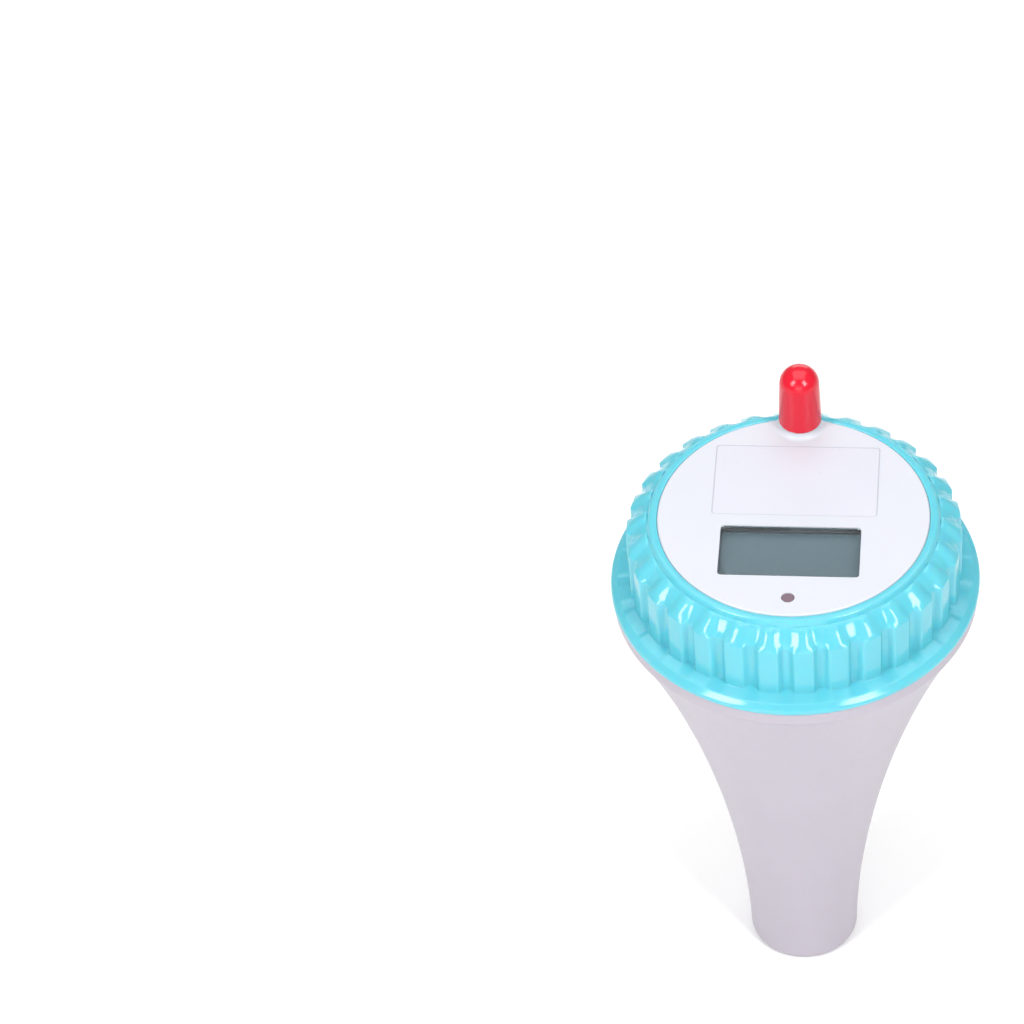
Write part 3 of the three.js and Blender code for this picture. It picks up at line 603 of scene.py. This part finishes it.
def add_antenna_stub(cover):
    """Boss that flares out of the face, with the round stub the cap slips over."""
    FLARE_LOW, FLARE_RADIUS, BOSS_RADIUS = 161.5, 8.2, 5.3
    STUB_LOW, STUB_TOP = 163.8, STUB_DOME_CENTRE + STUB_RADIUS
    flare = turned("flare", rounded([
        (0, FLARE_LOW, 0), (FLARE_RADIUS, FLARE_LOW, 0), (FLARE_RADIUS, COVER_TOP - 0.02, 0),
        (BOSS_RADIUS, COVER_TOP + 0.02, 1.5), (BOSS_RADIUS, BOSS_TOP, 0.2), (0, BOSS_TOP, 0),
    ], closed=False, steps=8), 96, ANTENNA_X, ANTENNA_Y, closed=False)
    combine(flare, rod("face_edge", COVER_RADIUS - 0.1, FLARE_LOW - 0.5, 170, segments=240), "INTERSECT")
    combine(cover, flare, "UNION")
    stub = turned("stub", rounded([
        (0, STUB_LOW, 0), (STUB_RADIUS, STUB_LOW, 0), (STUB_RADIUS, STUB_TOP, 3.9), (0, STUB_TOP, 0),
    ], closed=False, steps=8), 64, ANTENNA_X, ANTENNA_Y, closed=False)
    combine(cover, stub, "UNION")


def add_screw_posts(cover):
    POST, BORE, BORE_TOP = 2.6, 1.55, 154.5
    for sx in (-1, 1):
        for sy in (-1, 1):
            x, y = sx * SCREW_X, sy * SCREW_Y
            post = rod("post", POST, SKIRT_BOTTOM, COVER_UNDERSIDE + 0.5, x, y, 32)
            combine(cover, post, "UNION")
            combine(cover, rod("bore", BORE, SKIRT_BOTTOM - 1, BORE_TOP, x, y, 24), "DIFFERENCE")


def cut_openings(cover):
    BELOW, ABOVE = 155, 165
    LABEL_FLOOR = 161.7
    LEAD_HOLE, LEAD_Y = 1.2, 29.8
    COIL_ROOM, COIL_ROOM_TOP = 3.0, 177.5
    tools = [
        plate("window_hole", WINDOW, BELOW, ABOVE),
        plate("window_pocket", WINDOW, BELOW, POCKET_ROOF, WINDOW_LEDGE),
        plate("label_recess", LABEL, LABEL_FLOOR, ABOVE),
        rod("led_hole", LED_HOLE_RADIUS, BELOW, ABOVE, 0, LED_Y, 64),
        rod("lead_hole", LEAD_HOLE, BELOW + 1, BOSS_TOP + 1, 0, LEAD_Y, 32),
        rod("coil_room", COIL_ROOM, BOSS_TOP + 0.8, COIL_ROOM_TOP, ANTENNA_X, ANTENNA_Y, 32),
    ]
    for tool in tools:
        combine(cover, tool, "DIFFERENCE")


def top_cover():
    cover = cover_shell()
    add_antenna_stub(cover)
    add_screw_posts(cover)
    cut_openings(cover)
    soften(cover, 0.18)
    finish_piece(cover, WHITE, "white_shell", "head", "top_cover")


def antenna_cap():
    """Round-topped hollow cap over the stub."""
    LOW, WALL, TOP_RADIUS, BASE_RADIUS = BOSS_TOP + 0.3, 0.8, 5.0, 5.6
    INSIDE = TOP_RADIUS - WALL
    cap = turned("antenna_tip", rounded([
        (0, CAP_TOP, 0), (TOP_RADIUS, CAP_TOP, 4.9), (BASE_RADIUS, LOW, 0.35), (INSIDE + 0.1, LOW, 0.15),
        (INSIDE, CAP_TOP - WALL, 4.2), (0, CAP_TOP - WALL, 0),
    ], closed=False, steps=16), 128, ANTENNA_X, ANTENNA_Y, closed=False)
    finish_piece(cap, RED, "red_cap", "head", "antenna_cap")


def display_lens():
    """Clear window, flat shaded, because its faces are flat and bend what is seen through it."""
    lens = plate("display_lens", WINDOW, LEDGE_TOP - 0.4, COVER_TOP - 0.12, -0.15)
    combine(lens, plate("lens_ledge", WINDOW, LENS_BOTTOM, LEDGE_TOP, WINDOW_LEDGE - 0.3), "UNION")
    soften(lens, 0.12)
    finish_piece(lens, CLEAR, "clear_window", "head", "lcd_window")
    lens.modifiers.clear()
    lens.data.shade_flat()


def label():
    """Blank label, and round it a thin darker frame of painted shade for the shadow line in the groove
    round the label; both just below the face.
    """
    SHADE_OUTER, SHADE_INNER, FILM_EDGE = -0.02, -0.22, -0.24
    film = plate("blank_label", LABEL, COVER_TOP - 0.5, COVER_TOP - 0.03, FILM_EDGE)
    soften(film, 0.05)
    finish_piece(film, LABEL_FILM, "label", "head", "label_plate")
    # The frame round the film is painted shade, the dark line that the groove round the label would
    # show.
    rim = plate("painted_label_edge_shade", LABEL, COVER_TOP - 0.45, COVER_TOP - 0.06, SHADE_OUTER)
    opening = plate("shade_opening", LABEL, COVER_TOP - 1, COVER_TOP + 1, SHADE_INNER)
    combine(rim, opening, "DIFFERENCE")
    finish_piece(rim, LABEL_EDGE_SHADE, "label", "head")


def led_window():
    """Smoked light pipe in the hole below the display."""
    FOOT, COLLAR, FACE = 1.3, 2.2, LED_HOLE_RADIUS - 0.1
    LOW, COLLAR_LOW, COLLAR_TOP, TOP = 157.6, 158.9, 160.0, 162.4
    led = turned("led_window", rounded([
        (0, LOW, 0), (FOOT, LOW, 0.1), (FOOT, COLLAR_LOW, 0.1), (COLLAR, COLLAR_LOW, 0.1),
        (COLLAR, COLLAR_TOP, 0.1), (FACE, COLLAR_TOP, 0.1), (FACE, TOP - 0.1, 0.15), (0, TOP, 0),
    ], closed=False), 64, y=LED_Y, closed=False)
    finish_piece(led, SMOKED, "clear_window", "head", "led_lens")


def head_inside():
    """Materials of the CAD pieces that stay as they are."""
    paint(GREY, "inner_case", "battery_door", "unit_button", "reset_button")
    paint(FRAME_GREY, "lcd_frame")
    paint(BLACK, "micro_chip", "unit_switch", "reset_switch", "channel_switch",
          "channel_slider", "thermistor")
    paint(RUBBER, "neck_seal", "zebra_strip_1", "zebra_strip_2")
    paint(NICKEL, "case_screw_1", "case_screw_2", "case_screw_3", "case_screw_4", "probe_nut",
          "battery_spring_1", "battery_spring_2", "contact_positive", "contact_negative",
          "contact_bridge", "crystal_can", "radio_module")
    paint(JACKET, "battery_1", "battery_2")
    paint(BOARD, "main_board")
    paint(DISPLAY, "lcd_panel")
    paint(CLEAR, "led_emitter")
    paint(NYLON, "lead_socket", "lead_plug")
    paint(COPPER, "antenna_coil")
    paint(IRON, "ballast_weight")


# ---------------------------------------------------------------- studio
def area_light(name, place, size, power):
    """Rectangular soft light aimed at the middle of the object; sizes in metres, power in watts."""
    MIDDLE = Vector((0, 0, 0.13))
    data = bpy.data.lights.new(name, "AREA")
    data.shape = "RECTANGLE"
    data.size, data.size_y = size
    data.energy = power
    light = bpy.data.objects.new(name, data)
    bpy.context.collection.objects.link(light)
    light.location = place
    light.rotation_mode = "QUATERNION"
    light.rotation_quaternion = (MIDDLE - Vector(place)).to_track_quat("-Z", "Y")


def studio():
    FLOOR_SIZE = 12.0
    bm = bmesh.new()
    bmesh.ops.create_grid(bm, x_segments=2, y_segments=2, size=FLOOR_SIZE / 2)
    floor = make_object("studio_floor", bm)
    material, tree, bsdf = shader("floor_paper", (0.95, 0.95, 0.95), 0.9)
    tree.links.new(spread(tree, noise(tree, 60), 0.86, 0.92), bsdf.inputs["Roughness"])
    floor.data.materials.append(material)
    area_light("left_softbox", (-0.75, -0.75, 1.05), (0.35, 0.7), 10)
    area_light("right_softbox", (0.75, -0.75, 1.05), (0.35, 0.7), 10)
    area_light("front_fill", (0, -1.2, 0.5), (0.9, 0.6), 3)
    area_light("back_fill", (0, 1.3, 0.45), (0.9, 0.6), 3)
    area_light("top_fill", (0, 0.3, 1.6), (1.6, 1.6), 14.5)
    world = bpy.data.worlds.new("studio_air")
    world.use_nodes = True
    world.node_tree.nodes["Background"].inputs["Color"].default_value = (1, 1, 1, 1)
    world.node_tree.nodes["Background"].inputs["Strength"].default_value = 0.3
    bpy.context.scene.world = world
    bpy.context.scene.view_settings.view_transform = "Standard"


add_camera()
float_hull()
probe()
probe_lead()
lock_ring()
top_cover()
antenna_cap()
display_lens()
label()
led_window()
head_inside()
studio()
